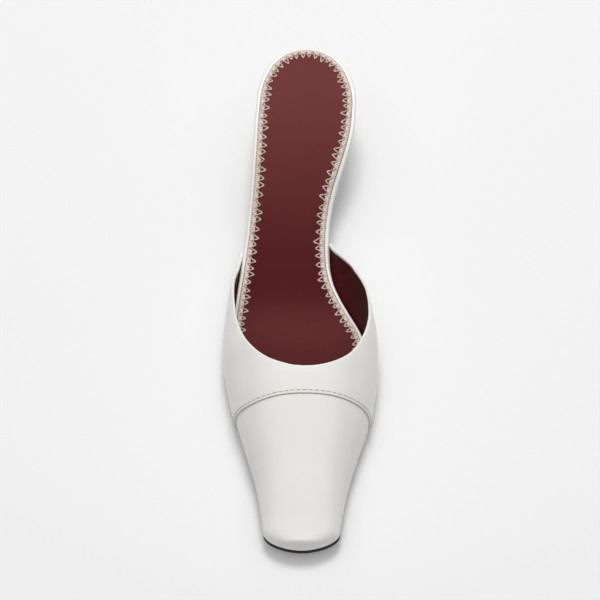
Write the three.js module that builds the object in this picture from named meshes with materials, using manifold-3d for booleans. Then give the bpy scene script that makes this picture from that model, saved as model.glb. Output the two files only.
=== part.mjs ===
// Mule shoe for the right foot: square-toed slip-on with a toe cap, a low throat and a covered heel.
// Millimetres, +Z up. The toe points to -Y, the heel to +Y, the inner side of the foot to +X.
// The shoe stands on its top lift and on the tread under the ball.
import * as THREE from 'three';
import { mergeVertices } from 'three/addons/utils/BufferGeometryUtils.js';
import Module from 'manifold-3d';

const wasm = await Module();
wasm.setup();

// Driving sizes of the last and of the made shoe
const shoeLength = 260;
const ballWidth = 76.6;
const seatHeight = 47;
const instepHeight = 52;
const toeSpring = 6.4;

// Thickness of each layer
const outsoleThick = 3;
const waistThick = 2.3;
const boardThick = 3;
const sockThick = 1.2;
const upperWall = 1.8;
const vampStep = 0.8;
const clearance = 0.3;

// Margins in plan: how far the outsole stands out past the upper, and what is set in from it
const boardRim = 2;
const soleMarginSide = -0.4;
const soleMarginToe = 0.2;
const soleMarginCorner = 0.6;
const waistInset = 1.6;
const heelInset = 1;
const soleBevel = 0.5;
const boardRoll = 1;
const sockRoll = 0.4;

// How far from the board's toe end the sole starts to stand out further, for the corners of the
// toe, and the length over which it does
const cornerReach = 13;
const cornerRun = 9;

// Heel and top lift
const heelBreast = 46;
const heelFootLength = 26;
const heelFootWidth = 25;
const heelFootBack = 8;
const liftThick = 5;
const liftBevel = 0.5;

// How far the plan's rounding reaches in from the heel and toe, and the toe box's from the tip
const heelRound = 30;
const toeRound = 9;
const noseRound = 2.2;

// Squareness of those roundings: 2 is an ellipse, more is squarer
const heelSquareness = 2.2;
const toeSquareness = 1.8;
const noseSquareness = 2.4;
const heelFrontSquareness = 5;

// How the heel draws in from the seat to its foot: 1 is straight, more is more hollow
const heelHollow = { back: 1.2, front: 2.4, widest: 1.6, sides: 1.9 };

// How far the raised edge of the vamp takes to fade out behind the cap seam, where that seam
// crosses the ridge, and how far it bows towards the toe on the outer and on the inner side
const stepFade = 34;
const seamPlace = 193.3;
const seamBowLateral = 1.8;
const seamBowMedial = 0.7;

const ballHalf = ballWidth / 2;
const stack = outsoleThick + boardThick + sockThick + 2 * clearance;
const boardTop = sockThick + clearance;
const boardUnder = boardTop + boardThick;
const outsoleTop = boardUnder + clearance;
const featherOut = clearance + upperWall;
const boardEnd = shoeLength - featherOut - soleMarginToe;

// Columns: share of the length from the heel back, share of the seat's rise above the ball,
// share of the toe spring
const lastLine = [
  [0, 1, 0], [0.085, 0.906, 0], [0.162, 0.811, 0], [0.192, 0.76, 0], [0.223, 0.684, 0],
  [0.254, 0.582, 0], [0.285, 0.467, 0], [0.315, 0.355, 0], [0.346, 0.258, 0], [0.377, 0.179, 0],
  [0.408, 0.115, 0], [0.438, 0.069, 0], [0.469, 0.036, 0], [0.504, 0.013, 0], [0.562, 0, 0],
  [0.715, 0, 0], [0.815, 0, 0.14], [0.908, 0, 0.47], [1.01, 0, 1],
];

// Columns: share of the length, outer side and inner side of the insole board as shares of half
// the ball width, before the ends are rounded
const boardPlan = [
  [0, 0.595, 0.676], [0.108, 0.603, 0.692], [0.16, 0.627, 0.671], [0.192, 0.634, 0.629],
  [0.223, 0.648, 0.564], [0.254, 0.661, 0.488], [0.281, 0.679, 0.426], [0.312, 0.7, 0.376],
  [0.34, 0.721, 0.35], [0.371, 0.749, 0.339], [0.404, 0.781, 0.35], [0.435, 0.809, 0.392],
  [0.469, 0.843, 0.486], [0.504, 0.869, 0.616], [0.541, 0.896, 0.755], [0.577, 0.914, 0.846],
  [0.615, 0.914, 0.89], [0.654, 0.877, 0.898], [0.708, 0.792, 0.857], [0.758, 0.695, 0.786],
  [0.808, 0.592, 0.684], [0.858, 0.491, 0.592], [0.904, 0.428, 0.527], [1.01, 0.329, 0.428],
];

// Columns: share of the length, sideways place of the ridge as a share of half the ball width,
// height of the ridge as a share of the instep height
const ridgeLine = [
  [0.369, -0.104, 0.769], [0.431, -0.052, 0.885], [0.492, 0, 0.962], [0.554, 0.039, 1],
  [0.615, 0.065, 1], [0.662, 0.075, 0.967], [0.7, 0.078, 0.91], [0.769, 0.078, 0.767],
  [0.846, 0.078, 0.602], [0.923, 0.074, 0.447], [0.969, 0.071, 0.352], [1.01, 0.068, 0.287],
];

// Columns: share of the length, bulge of the outer and of the inner side past the feather line as
// shares of half the ball width, squareness of the outer and of the inner side
const crossForm = [
  [0.369, 0.052, 0.05, 1.9, 2.3], [0.386, 0.068, 0.27, 1.9, 2.3], [0.402, 0.086, 0.5, 1.9, 2.3],
  [0.417, 0.112, 0.655, 1.9, 2.3], [0.438, 0.175, 0.761, 1.9, 2.3], [0.466, 0.23, 0.755, 1.9, 2.3],
  [0.492, 0.26, 0.69, 1.9, 2.3], [0.515, 0.273, 0.583, 1.9, 2.3], [0.547, 0.268, 0.435, 1.9, 2.3],
  [0.585, 0.259, 0.322, 1.92, 2.3], [0.627, 0.227, 0.225, 1.98, 2.3], [0.673, 0.156, 0.142, 2.1, 2.3],
  [0.731, 0.126, 0.094, 2.32, 2.4], [0.808, 0.108, 0.063, 2.55, 2.55], [0.885, 0.066, 0.032, 2.6, 2.6],
  [0.95, 0.054, 0.031, 2.45, 2.45], [1.01, 0.042, 0.03, 2.3, 2.3],
];

// Columns: share of the way up the section from the feather line to the ridge, share of the length
// where the topline of the outer and of the inner side passes it
const toplinePlace = [
  [0, 0.377, 0.36], [0.07, 0.4, 0.374], [0.13, 0.424, 0.3925], [0.19, 0.443, 0.4138],
  [0.235, 0.457, 0.435], [0.265, 0.466, 0.4523], [0.295, 0.477, 0.4714], [0.33, 0.4935, 0.4956],
  [0.36, 0.509, 0.5197], [0.385, 0.525, 0.541], [0.44, 0.564, 0.58], [0.51, 0.605, 0.62],
  [0.58, 0.636, 0.649], [0.66, 0.661, 0.669], [0.76, 0.68, 0.684], [0.87, 0.692, 0.694],
  [0.94, 0.697, 0.6975], [1, 0.6985, 0.6985],
];

// Smooth curve through the rows of a table that never overshoots them
function curve(rows, column) {
  const n = rows.length;
  const x = rows.map((row) => row[0]);
  const y = rows.map((row) => row[column]);
  const rise = [];
  for (let i = 0; i < n - 1; i++) rise.push((y[i + 1] - y[i]) / (x[i + 1] - x[i]));
  const tilt = [rise[0]];
  for (let i = 1; i < n - 1; i++) {
    const same = rise[i - 1] * rise[i] > 0;
    tilt.push(same ? (2 * rise[i - 1] * rise[i]) / (rise[i - 1] + rise[i]) : 0);
  }
  tilt.push(rise[n - 2]);
  return (at) => {
    const v = Math.min(Math.max(at, x[0]), x[n - 1]);
    let i = 0;
    while (i < n - 2 && v > x[i + 1]) i++;
    const w = x[i + 1] - x[i];
    const t = (v - x[i]) / w;
    const blend = t * t * (3 - 2 * t);
    const lead = t * (1 - t) * (1 - t) * w * tilt[i];
    const tail = t * t * (t - 1) * w * tilt[i + 1];
    return y[i] + blend * (y[i + 1] - y[i]) + lead + tail;
  };
}

// Value at which a rising curve reaches a height, found by halving
const halvings = 40;
function reach(rising, height, low, high) {
  let a = low;
  let b = high;
  for (let i = 0; i < halvings; i++) {
    const mid = (a + b) / 2;
    if (rising(mid) < height) a = mid;
    else b = mid;
  }
  return (a + b) / 2;
}

const clamp01 = (v) => Math.min(Math.max(v, 0), 1);
const smooth = (v) => clamp01(v) ** 2 * (3 - 2 * clamp01(v));
const riseShare = curve(lastLine, 1);
const springShare = curve(lastLine, 2);
const lateralShare = curve(boardPlan, 1);
const medialShare = curve(boardPlan, 2);
const ridgeAcross = curve(ridgeLine, 1);
const ridgeShare = curve(ridgeLine, 2);
const bulge = { lateral: curve(crossForm, 1), medial: curve(crossForm, 2) };
const squareness = { lateral: curve(crossForm, 3), medial: curve(crossForm, 4) };
const topline = { lateral: curve(toplinePlace, 1), medial: curve(toplinePlace, 2) };
const sign = { lateral: -1, medial: 1 };

// Height of the sock's upper face at a distance s from the heel back, and the slope there
function footbed(s) {
  const share = s / shoeLength;
  return stack + (seatHeight - stack) * riseShare(share) + toeSpring * springShare(share);
}
const slopeStep = 0.5;
const slope = (s) => Math.atan((footbed(s + slopeStep) - footbed(s - slopeStep)) / (2 * slopeStep));

// Height of a face that lies a given depth square below the footbed
const below = (s, depth) => footbed(s) - depth / Math.cos(slope(s));

// Share of the full width that is left where the heel end and the toe end of a plan round off
function roundOff(s, growHeel, growToe) {
  const atHeel = clamp01((heelRound - (s + growHeel)) / heelRound);
  const atToe = clamp01((s - (boardEnd + growToe - toeRound)) / toeRound);
  const heelShare = (1 - atHeel ** heelSquareness) ** (1 / heelSquareness);
  return heelShare * (1 - atToe ** 2) ** (1 / toeSquareness);
}

// Side of the board's plan, grown sideways by grow and lengthened at the ends
function edge(s, side, grow, growHeel, growToe) {
  const share = s / shoeLength;
  const outer = -lateralShare(share) * ballHalf;
  const inner = medialShare(share) * ballHalf;
  const half = (inner - outer) / 2 + grow;
  return (inner + outer) / 2 + sign[side] * half * roundOff(s, growHeel, growToe);
}

// Point of the upper's surface: t runs from 0 at the feather line to 1 at the ridge. A side is a
// superellipse quarter between the feather point, a corner pushed out by the bulge, and the ridge.
function upperPoint(s, side, t, grow, thick) {
  const share = s / shoeLength;
  const outer = -lateralShare(share) * ballHalf;
  const inner = medialShare(share) * ballHalf;
  const middle = (inner + outer) / 2;
  const rounded = roundOff(s, 0, grow);
  const nose = clamp01((s - (boardEnd + grow - noseRound)) / noseRound);
  const noseShare = (1 - nose ** noseSquareness) ** (1 / noseSquareness);
  const footX = edge(s, side, grow, 0, grow);
  const footZ = below(s, boardUnder);
  const ridgeX = middle + (ridgeAcross(share) * ballHalf - middle) * rounded;
  const ridgeZ = footZ + (ridgeShare(share) * instepHeight - thick - footZ) * noseShare;
  const cornerX = footX + sign[side] * bulge[side](share) * ballHalf * rounded;
  const power = 2 / squareness[side](share);
  const across = Math.cos((t * Math.PI) / 2) ** power;
  const upward = Math.sin((t * Math.PI) / 2) ** power;
  const x = footX + ridgeX - cornerX + (cornerX - ridgeX) * across + (cornerX - footX) * upward;
  return [x, footZ + (ridgeZ - footZ) * upward];
}

// Solid through rings of points, all with as many points, closed by a fan at each end. Points are
// given as sideways place, distance from the heel back and height.
function loft(rings) {
  const count = rings[0].length;
  const points = rings.flat();
  const faces = [];
  for (let i = 0; i < rings.length - 1; i++) {
    for (let j = 0; j < count; j++) {
      const k = (j + 1) % count;
      const a = i * count + j;
      const b = i * count + k;
      faces.push([a, b, b + count], [a, b + count, a + count]);
    }
  }
  for (const [first, turn] of [[0, true], [(rings.length - 1) * count, false]]) {
    const ring = points.slice(first, first + count);
    const centre = ring[0].map((_, axis) => ring.reduce((sum, p) => sum + p[axis], 0) / count);
    const hub = points.length;
    points.push(centre);
    for (let j = 0; j < count; j++) {
      const a = first + j;
      const b = first + ((j + 1) % count);
      faces.push(turn ? [hub, b, a] : [hub, a, b]);
    }
  }
  return solid(points, faces);
}

// Closed solid from points and faces: points nearer than the weld become one, and faces that
// collapse go
const weld = 1e-3;
function solid(points, faces) {
  const geometry = new THREE.BufferGeometry();
  const flat = points.flatMap(([x, s, z]) => [x, shoeLength / 2 - s, z]);
  geometry.setAttribute('position', new THREE.Float32BufferAttribute(flat, 3));
  geometry.setIndex(faces.flat());
  const merged = mergeVertices(geometry, weld);
  const index = merged.index.array;
  const kept = [];
  for (let i = 0; i < index.length; i += 3) {
    const [a, b, c] = [index[i], index[i + 1], index[i + 2]];
    if (a !== b && b !== c && c !== a) kept.push(a, b, c);
  }
  const vertProperties = new Float32Array(merged.attributes.position.array);
  const mesh = new wasm.Mesh({ numProp: 3, vertProperties, triVerts: new Uint32Array(kept) });
  const body = new wasm.Manifold(mesh);
  return body.volume() > 0 ? body : new wasm.Manifold(flipped(mesh));
}

// The same mesh with every face turned over
function flipped(mesh) {
  const triVerts = new Uint32Array(mesh.triVerts);
  for (let i = 0; i < triVerts.length; i += 3) {
    [triVerts[i + 1], triVerts[i + 2]] = [triVerts[i + 2], triVerts[i + 1]];
  }
  return new wasm.Mesh({ numProp: 3, vertProperties: mesh.vertProperties, triVerts });
}

// Distances from start to end, closer together near the ends that are asked for
function stations(start, end, count, easeStart, easeEnd) {
  const list = [];
  for (let i = 0; i <= count; i++) {
    const t = i / count;
    let u = t;
    if (easeStart && easeEnd) u = (1 - Math.cos(Math.PI * t)) / 2;
    else if (easeStart) u = 1 - Math.cos((Math.PI * t) / 2);
    else if (easeEnd) u = Math.sin((Math.PI * t) / 2);
    list.push(start + (end - start) * u);
  }
  return list;
}

// Steps along the board, the sock and the outsole
const layerRows = 46;
const soleRows = 44;

// Largest share of half the width that a bevel takes where an end gets narrow
const mostCut = 0.9;

// A flat layer of the bottom, between two depths below the footbed. The long edges are bevelled
// at the top by rollTop and at the underside by rollUnder.
function layer({ places, side, top, under, rollTop, rollUnder }) {
  const rings = places.map((s) => {
    const left = side(s, 'lateral');
    const right = side(s, 'medial');
    const room = (right - left) / 2;
    const high = below(s, top(s));
    const low = below(s, under(s));
    const cutTop = Math.min(rollTop, room * mostCut);
    const cutUnder = Math.min(rollUnder, room * mostCut);
    return [
      [left + cutTop, s, high], [left, s, high - rollTop], [left, s, low + rollUnder],
      [left + cutUnder, s, low], [right - cutUnder, s, low], [right, s, low + rollUnder],
      [right, s, high - rollTop], [right - cutTop, s, high],
    ];
  });
  return loft(rings);
}

// Insole board, wrapped in leather, from the heel back to inside the toe box
function insoleBoard() {
  return layer({
    places: stations(0, boardEnd, layerRows, true, true),
    side: (s, side) => edge(s, side, 0, 0, 0),
    top: () => boardTop,
    under: () => boardUnder,
    rollTop: boardRoll,
    rollUnder: boardRoll,
  });
}

// Sock, the padded cover that lies on the board and leaves its rim bare
function sockLining() {
  return layer({
    places: stations(boardRim, boardEnd - boardRim, layerRows, true, true),
    side: (s, side) => edge(s, side, -boardRim, -boardRim, -boardRim),
    top: () => 0,
    under: () => sockThick,
    rollTop: sockRoll,
    rollUnder: 0,
  });
}

// How much of the forepart's sole margin there is at a place: none in the waist, all at the ball
const waistEnd = 0.36 * shoeLength;
const forepartStart = 0.54 * shoeLength;
const forepartShare = (s) => smooth((s - waistEnd) / (forepartStart - waistEnd));

const cornerStart = boardEnd - cornerReach;

// Outsole from the heel breast to the toe: a thin inset waist that widens into the forepart
function outsole() {
  const start = heelBreast + clearance;
  const growToe = featherOut + soleMarginToe;
  return layer({
    places: stations(start, boardEnd + growToe, soleRows, false, true),
    side: (s, side) => {
      const corner = soleMarginCorner * smooth((s - cornerStart) / cornerRun);
      const growSide = featherOut + soleMarginSide + corner;
      const grow = -waistInset + (growSide + waistInset) * forepartShare(s);
      return edge(s, side, grow, 0, growToe);
    },
    top: () => outsoleTop,
    under: (s) => outsoleTop + waistThick + (outsoleThick - waistThick) * forepartShare(s),
    rollTop: 0,
    rollUnder: soleBevel,
  });
}

// Line of the toe cap seam, slightly bowed towards the toe on each side and level at the ridge
function seam(side, t) {
  const bow = side === 'lateral' ? seamBowLateral : seamBowMedial;
  return seamPlace + bow * Math.sin(Math.PI * t) ** 2;
}

// How far the vamp stands proud of the cap: the full step at the seam, fading out behind it
const proud = (s) => vampStep * smooth(1 - (seamPlace - s) / stepFade);

// Rows of the upper's mesh along the wings, the vamp and the cap, and columns up each side
const wingRows = 28;
const vampRows = 5;
const capRows = 20;
const upColumns = 13;

// Rows of the upper from the ends of its wings to the tip of the toe box. A row gives, for a side
// and a share v of the way up from the feather line, the place on the last (s, t) of the outer and
// of the inner face, and how far the outer face stands proud.
function upperRows() {
  const throat = toplinePlace.at(-1)[1] * shoeLength;
  const rows = [];
  for (const u of stations(0, 1, wingRows, false, true)) {
    rows.push((side, v) => {
      const start = topline[side](0) * shoeLength;
      const s = start + (throat - start) * u;
      const t = u === 1 ? v : reach(topline[side], s / shoeLength, 0, 1) * v;
      return { outer: [s, t], inner: [s, t], raise: proud(s) };
    });
  }
  for (const u of stations(0, 1, vampRows, false, false).slice(1)) {
    rows.push((side, v) => {
      const s = throat + (seam(side, v) - throat) * u;
      return { outer: [s, v], inner: [s, v], raise: proud(Math.min(s, seamPlace)) };
    });
  }
  for (const u of stations(0, 1, capRows, false, true)) {
    rows.push((side, v) => {
      const from = seam(side, v);
      const outer = from + (boardEnd + featherOut - from) * u;
      const inner = from + (boardEnd + clearance - from) * u;
      return { outer: [outer, v], inner: [inner, v], raise: 0 };
    });
  }
  return rows;
}

// The upper, one shell: outer and inner faces over the last, joined by a rim along the topline
// and one along the feather line. The two sides meet along the ridge in front of the throat.
function upper() {
  const rows = upperRows();
  const points = [];
  const faces = [];
  const quad = (a, b, c, d) => faces.push([a, b, c], [a, c, d]);
  const width = upColumns + 1;
  for (const side of ['lateral', 'medial']) {
    const base = points.length;
    const at = (row, column, face) => base + 2 * (row * width + column) + face;
    for (const row of rows) {
      for (let j = 0; j < width; j++) {
        const { outer, inner, raise } = row(side, j / upColumns);
        const [ox, oz] = upperPoint(outer[0], side, outer[1], featherOut + raise, -raise);
        const [ix, iz] = upperPoint(inner[0], side, inner[1], clearance, upperWall);
        points.push([ox, outer[0], oz], [ix, inner[0], iz]);
      }
    }
    const turned = side === 'medial';
    const face = (a, b, c, d) => (turned ? quad(d, c, b, a) : quad(a, b, c, d));
    for (let i = 0; i < rows.length - 1; i++) {
      for (let j = 0; j < upColumns; j++) {
        face(at(i, j, 0), at(i, j + 1, 0), at(i + 1, j + 1, 0), at(i + 1, j, 0));
        face(at(i + 1, j, 1), at(i + 1, j + 1, 1), at(i, j + 1, 1), at(i, j, 1));
      }
      face(at(i, 0, 1), at(i, 0, 0), at(i + 1, 0, 0), at(i + 1, 0, 1));
      if (i < wingRows) {
        const j = upColumns;
        face(at(i + 1, j, 1), at(i + 1, j, 0), at(i, j, 0), at(i, j, 1));
      }
    }
  }
  return solid(points, faces);
}

// Outline of the heel at a height, a round back and a flatter front, on the seat's own plan at
// the top and drawn in to its foot below
const seatWidest = 0.11;
const seatOuter = heelInset - lateralShare(seatWidest) * ballHalf;
const seatInner = medialShare(seatWidest) * ballHalf - heelInset;
const seatMiddle = (seatOuter + seatInner) / 2;
const heelTop = below(0, boardUnder + clearance);
const breastTop = below(heelBreast, boardUnder + clearance);
function heelRing(z, count) {
  const up = clamp01((z - liftThick) / (heelTop - liftThick));
  const upBreast = clamp01((z - liftThick) / (breastTop - liftThick));
  const footFront = heelFootBack + heelFootLength;
  const footMiddle = heelFootBack + heelFootLength / 2;
  const drawn = (foot, seat, share, hollow) => foot + (seat - foot) * share ** hollow;
  const back = drawn(heelFootBack, heelInset, up, heelHollow.back);
  const front = drawn(footFront, heelBreast, upBreast, heelHollow.front);
  const widest = drawn(footMiddle, heelRound, up, heelHollow.widest);
  const outer = drawn(seatMiddle - heelFootWidth / 2, seatOuter, up, heelHollow.sides);
  const inner = drawn(seatMiddle + heelFootWidth / 2, seatInner, up, heelHollow.sides);
  const middle = (outer + inner) / 2;
  const ring = [];
  for (let i = 0; i < count; i++) {
    const angle = (2 * Math.PI * i) / count;
    const c = Math.cos(angle);
    const n = Math.sin(angle);
    const power = 2 / (n > 0 ? heelFrontSquareness : heelSquareness);
    const x = middle + (c > 0 ? inner - middle : outer - middle) * Math.abs(c) ** power;
    const along = n > 0 ? front - widest : back - widest;
    ring.push([x, widest + along * Math.abs(n) ** power, z]);
  }
  return ring;
}

// Sides round the heel, steps up it, and steps along the seat that cuts it off
const heelSides = 36;
const heelRows = 14;
const seatRows = 30;

// Covered heel: lofted up through the seat and cut off square under the insole board
function heel() {
  const heights = stations(liftThick + clearance, seatHeight, heelRows, false, false);
  const block = loft(heights.map((z) => heelRing(z, heelSides)));
  const reachOut = ballWidth;
  const lidTop = 2 * seatHeight;
  const lid = stations(-heelRound, 2 * heelBreast, seatRows, false, false).map((s) => {
    const z = below(Math.max(s, 0), boardUnder + clearance);
    return [[-reachOut, s, z], [reachOut, s, z], [reachOut, s, lidTop], [-reachOut, s, lidTop]];
  });
  return block.subtract(loft(lid));
}

// Top lift, the hard-wearing pad that the heel stands on
function topLift() {
  const outline = heelRing(liftThick, heelSides);
  const middle = [0, 1].map((axis) => outline.reduce((sum, p) => sum + p[axis], 0) / heelSides);
  const drawnIn = (p, by) => {
    const out = Math.hypot(p[0] - middle[0], p[1] - middle[1]);
    const keep = (out - by) / out;
    return [middle[0] + (p[0] - middle[0]) * keep, middle[1] + (p[1] - middle[1]) * keep];
  };
  const rings = [[0, liftBevel], [liftBevel, 0], [liftThick, 0]].map(([z, by]) => {
    return outline.map((p) => [...drawnIn(p, by), z]);
  });
  return loft(rings);
}

// Named mesh of a solid in its own finish
function piece(name, body, colour, roughness, metalness) {
  const mesh = body.getMesh();
  const geometry = new THREE.BufferGeometry();
  const positions = [];
  for (let i = 0; i < mesh.vertProperties.length; i += mesh.numProp) {
    positions.push(...mesh.vertProperties.subarray(i, i + 3));
  }
  geometry.setAttribute('position', new THREE.Float32BufferAttribute(positions, 3));
  geometry.setIndex([...mesh.triVerts]);
  geometry.computeVertexNormals();
  const material = new THREE.MeshStandardMaterial({ color: colour, roughness, metalness });
  const made = new THREE.Mesh(geometry, material);
  made.name = name;
  return made;
}

const shoe = new THREE.Group();
shoe.add(piece('outsole', outsole(), 0x171616, 0.55, 0));
shoe.add(piece('insole_board', insoleBoard(), 0xe8e6e2, 0.35, 0));
shoe.add(piece('sock', sockLining(), 0x5c2a2b, 0.6, 0));
shoe.add(piece('upper', upper(), 0xe2e1de, 0.3, 0));
shoe.add(piece('heel', heel(), 0xe2e1de, 0.3, 0));
shoe.add(piece('top_lift', topLift(), 0x1b1a1a, 0.7, 0));

// The origin goes to the middle of the shoe's box, at the level of the ground
const box = new THREE.Box3().setFromObject(shoe);
shoe.position.set(-(box.min.x + box.max.x) / 2, -(box.min.y + box.max.y) / 2, -box.min.z);

export default shoe;
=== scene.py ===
"""Mule shoe for the right foot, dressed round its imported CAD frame.

Sizes are in millimetres. A point is given as its sideways place, with the inner side of the foot
positive, its distance from the heel back, called s, and its height above the ground.
"""

import math

import bmesh
import bpy
import numpy as np
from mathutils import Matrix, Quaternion, Vector


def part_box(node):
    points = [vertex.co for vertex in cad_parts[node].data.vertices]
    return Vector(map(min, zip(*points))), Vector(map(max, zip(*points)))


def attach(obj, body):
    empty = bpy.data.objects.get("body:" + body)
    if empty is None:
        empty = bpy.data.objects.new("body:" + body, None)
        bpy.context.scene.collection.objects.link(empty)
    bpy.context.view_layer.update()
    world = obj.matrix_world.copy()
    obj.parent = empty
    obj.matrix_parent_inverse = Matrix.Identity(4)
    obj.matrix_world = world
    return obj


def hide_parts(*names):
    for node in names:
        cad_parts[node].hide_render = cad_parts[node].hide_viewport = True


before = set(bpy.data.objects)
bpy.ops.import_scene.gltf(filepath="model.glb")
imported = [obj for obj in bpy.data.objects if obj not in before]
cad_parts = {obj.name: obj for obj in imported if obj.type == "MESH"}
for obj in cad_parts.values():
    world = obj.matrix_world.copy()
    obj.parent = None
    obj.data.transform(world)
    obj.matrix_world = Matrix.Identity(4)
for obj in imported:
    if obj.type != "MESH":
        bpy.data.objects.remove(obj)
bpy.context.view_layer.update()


# Insole board: stiff fibre board, steamed to the line of the last from the heel to the toe box.
# It is wrapped in off-white leather, pasted down over the edge, so that a rounded rim of the
# wrapping shows all round the sock.

shoe_length = 260
ball_width = 76.6
seat_height = 47
toe_spring = 6.4
ball_half = ball_width / 2

outsole_thick = 3
board_thick = 3
sock_thick = 1.2
clearance = 0.3
layers = outsole_thick + board_thick + sock_thick + 2 * clearance
board_top = sock_thick + clearance
board_under = board_top + board_thick
upper_wall = 1.8
feather_out = clearance + upper_wall
sole_margin_toe = 0.2
board_end = shoe_length - feather_out - sole_margin_toe

heel_round = 30
toe_round = 9
heel_squareness = 2.2
toe_squareness = 1.8

# Ends of the line down the plan's middle, the step that slopes are taken over, and the distance
# in metres within which two points are one
plan_middle = (26, 244)
slope_step = 0.5
merge_distance = 2e-6
plan_samples = 400

# Columns: share of the length from the heel back, share of the seat's rise above the ball,
# share of the toe spring
last_line = [
    (0, 1, 0), (0.085, 0.906, 0), (0.162, 0.811, 0), (0.192, 0.76, 0), (0.223, 0.684, 0),
    (0.254, 0.582, 0), (0.285, 0.467, 0), (0.315, 0.355, 0), (0.346, 0.258, 0), (0.377, 0.179, 0),
    (0.408, 0.115, 0), (0.438, 0.069, 0), (0.469, 0.036, 0), (0.504, 0.013, 0), (0.562, 0, 0),
    (0.715, 0, 0), (0.815, 0, 0.14), (0.908, 0, 0.47), (1.01, 0, 1),
]

# Columns: share of the length, outer and inner side of the board as shares of half the ball width
board_plan = [
    (0, 0.595, 0.676), (0.108, 0.603, 0.692), (0.16, 0.627, 0.671), (0.192, 0.634, 0.629),
    (0.223, 0.648, 0.564), (0.254, 0.661, 0.488), (0.281, 0.679, 0.426), (0.312, 0.7, 0.376),
    (0.34, 0.721, 0.35), (0.371, 0.749, 0.339), (0.404, 0.781, 0.35), (0.435, 0.809, 0.392),
    (0.469, 0.843, 0.486), (0.504, 0.869, 0.616), (0.541, 0.896, 0.755), (0.577, 0.914, 0.846),
    (0.615, 0.914, 0.89), (0.654, 0.877, 0.898), (0.708, 0.792, 0.857), (0.758, 0.695, 0.786),
    (0.808, 0.592, 0.684), (0.858, 0.491, 0.592), (0.904, 0.428, 0.527), (1.01, 0.329, 0.428),
]


def curve(rows, column):
    """Smooth curve through the rows of a table: a cubic between rows, whose tilt at each row is
    the harmonic mean of the slopes on both sides, so that it never overshoots the rows."""
    place = np.array([row[0] for row in rows], dtype=float)
    value = np.array([row[column] for row in rows], dtype=float)
    rise = np.diff(value) / np.diff(place)
    product = rise[:-1] * rise[1:]
    total = rise[:-1] + rise[1:]
    inner = np.where(product > 0, 2 * product / np.where(product > 0, total, 1), 0)
    tilt = np.concatenate([rise[:1], inner, rise[-1:]])

    def at(where):
        v = np.clip(where, place[0], place[-1])
        i = np.clip(np.searchsorted(place, v, side="right") - 1, 0, len(place) - 2)
        width = place[i + 1] - place[i]
        t = (v - place[i]) / width
        blend = t * t * (3 - 2 * t)
        lead = t * (1 - t) * (1 - t) * width * tilt[i]
        tail = t * t * (t - 1) * width * tilt[i + 1]
        return value[i] + blend * (value[i + 1] - value[i]) + lead + tail

    return at


def smooth(v):
    """Rises from 0 to 1 between 0 and 1, level at both ends: 3 v squared less 2 v cubed."""
    c = np.clip(v, 0, 1)
    return c * c * (3 - 2 * c)


rise_share = curve(last_line, 1)
spring_share = curve(last_line, 2)
outer_share = curve(board_plan, 1)
inner_share = curve(board_plan, 2)


def footbed(s):
    """Height of the sock's upper face: the layers, the seat's rise and the toe spring added up."""
    share = s / shoe_length
    rise = (seat_height - layers) * rise_share(share)
    return layers + rise + toe_spring * spring_share(share)


def bed_slope(s):
    """Angle of the footbed along the shoe, from its heights a small step to each side."""
    return np.arctan((footbed(s + slope_step) - footbed(s - slope_step)) / (2 * slope_step))


def below(s, depth):
    """Height of a face that lies a depth square below the footbed."""
    return footbed(s) - depth / np.cos(bed_slope(s))


def round_off(s, grow_heel=0, grow_toe=0):
    """Share of the width left where the plan rounds off: a superellipse quarter at each end."""
    at_heel = np.clip((heel_round - (s + grow_heel)) / heel_round, 0, 1)
    at_toe = np.clip((s - (board_end + grow_toe - toe_round)) / toe_round, 0, 1)
    heel_part = (1 - at_heel**heel_squareness) ** (1 / heel_squareness)
    return heel_part * (1 - at_toe**2) ** (1 / toe_squareness)


def plan_edge(s, side, grow=0, grow_heel=0, grow_toe=0):
    """Side of the board's plan: its middle, and half its width to the side, grown sideways by
    grow, lengthened at the ends and rounded off there. Side is -1 outside and 1 inside."""
    share = s / shoe_length
    outer = -outer_share(share) * ball_half
    inner = inner_share(share) * ball_half
    half = (inner - outer) / 2 + grow
    return (inner + outer) / 2 + side * half * round_off(s, grow_heel, grow_toe)


def outline(places, square_start=False, **grown):
    """Closed plan outline through places along the shoe: up the outer side, back down the inner.
    Gives the points and their unit normals towards the inside. At a square start, a straight edge
    runs across between two corners, whose normals are diagonal."""
    across = [plan_edge(places, side, **grown) for side in (-1, 1)]
    last = None if square_start else 0
    x = np.concatenate([across[0], across[1][-2:last:-1]])
    s = np.concatenate([places, places[-2:last:-1]])
    step_x = np.roll(x, -1) - np.roll(x, 1)
    step_s = np.roll(s, -1) - np.roll(s, 1)
    length = np.hypot(step_x, step_s)
    inward_x, inward_s = step_s / length, -step_x / length
    if square_start:
        inward_x[[0, -1]] = 1, -1
        inward_s[[0, -1]] = 1
    return x, s, inward_x, inward_s


def eased(start, end, count):
    """Places from start to end, closer together near both, by a half turn of the cosine."""
    return start + (end - start) * (1 - np.cos(np.linspace(0, math.pi, count + 1))) / 2


def middle_line(s, start, end):
    """Nearest place of the plan's middle line, which runs from a start to an end."""
    centre_s = np.clip(s, start, end)
    return (plan_edge(centre_s, -1) + plan_edge(centre_s, 1)) / 2, centre_s


def ring_grid(columns):
    """Closed grid from columns of sideways places, places along the shoe and depths."""
    grid = np.stack([np.stack([x, s, below(s, depth)], axis=-1) for x, s, depth in columns], axis=1)
    return np.concatenate([grid, grid[:1]])


def layer(ring, profile):
    """Flat layer of the bottom: a profile of insets and depths carried round an outline, and
    closed by running its first and last ring in to the plan's middle line."""
    x, s, normal_x, normal_s = ring
    centre = middle_line(s, *plan_middle)
    columns = [(x + normal_x * inset, s + normal_s * inset, depth) for inset, depth in profile]
    return ring_grid([(*centre, profile[0][1]), *columns, (*centre, profile[-1][1])])


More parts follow.
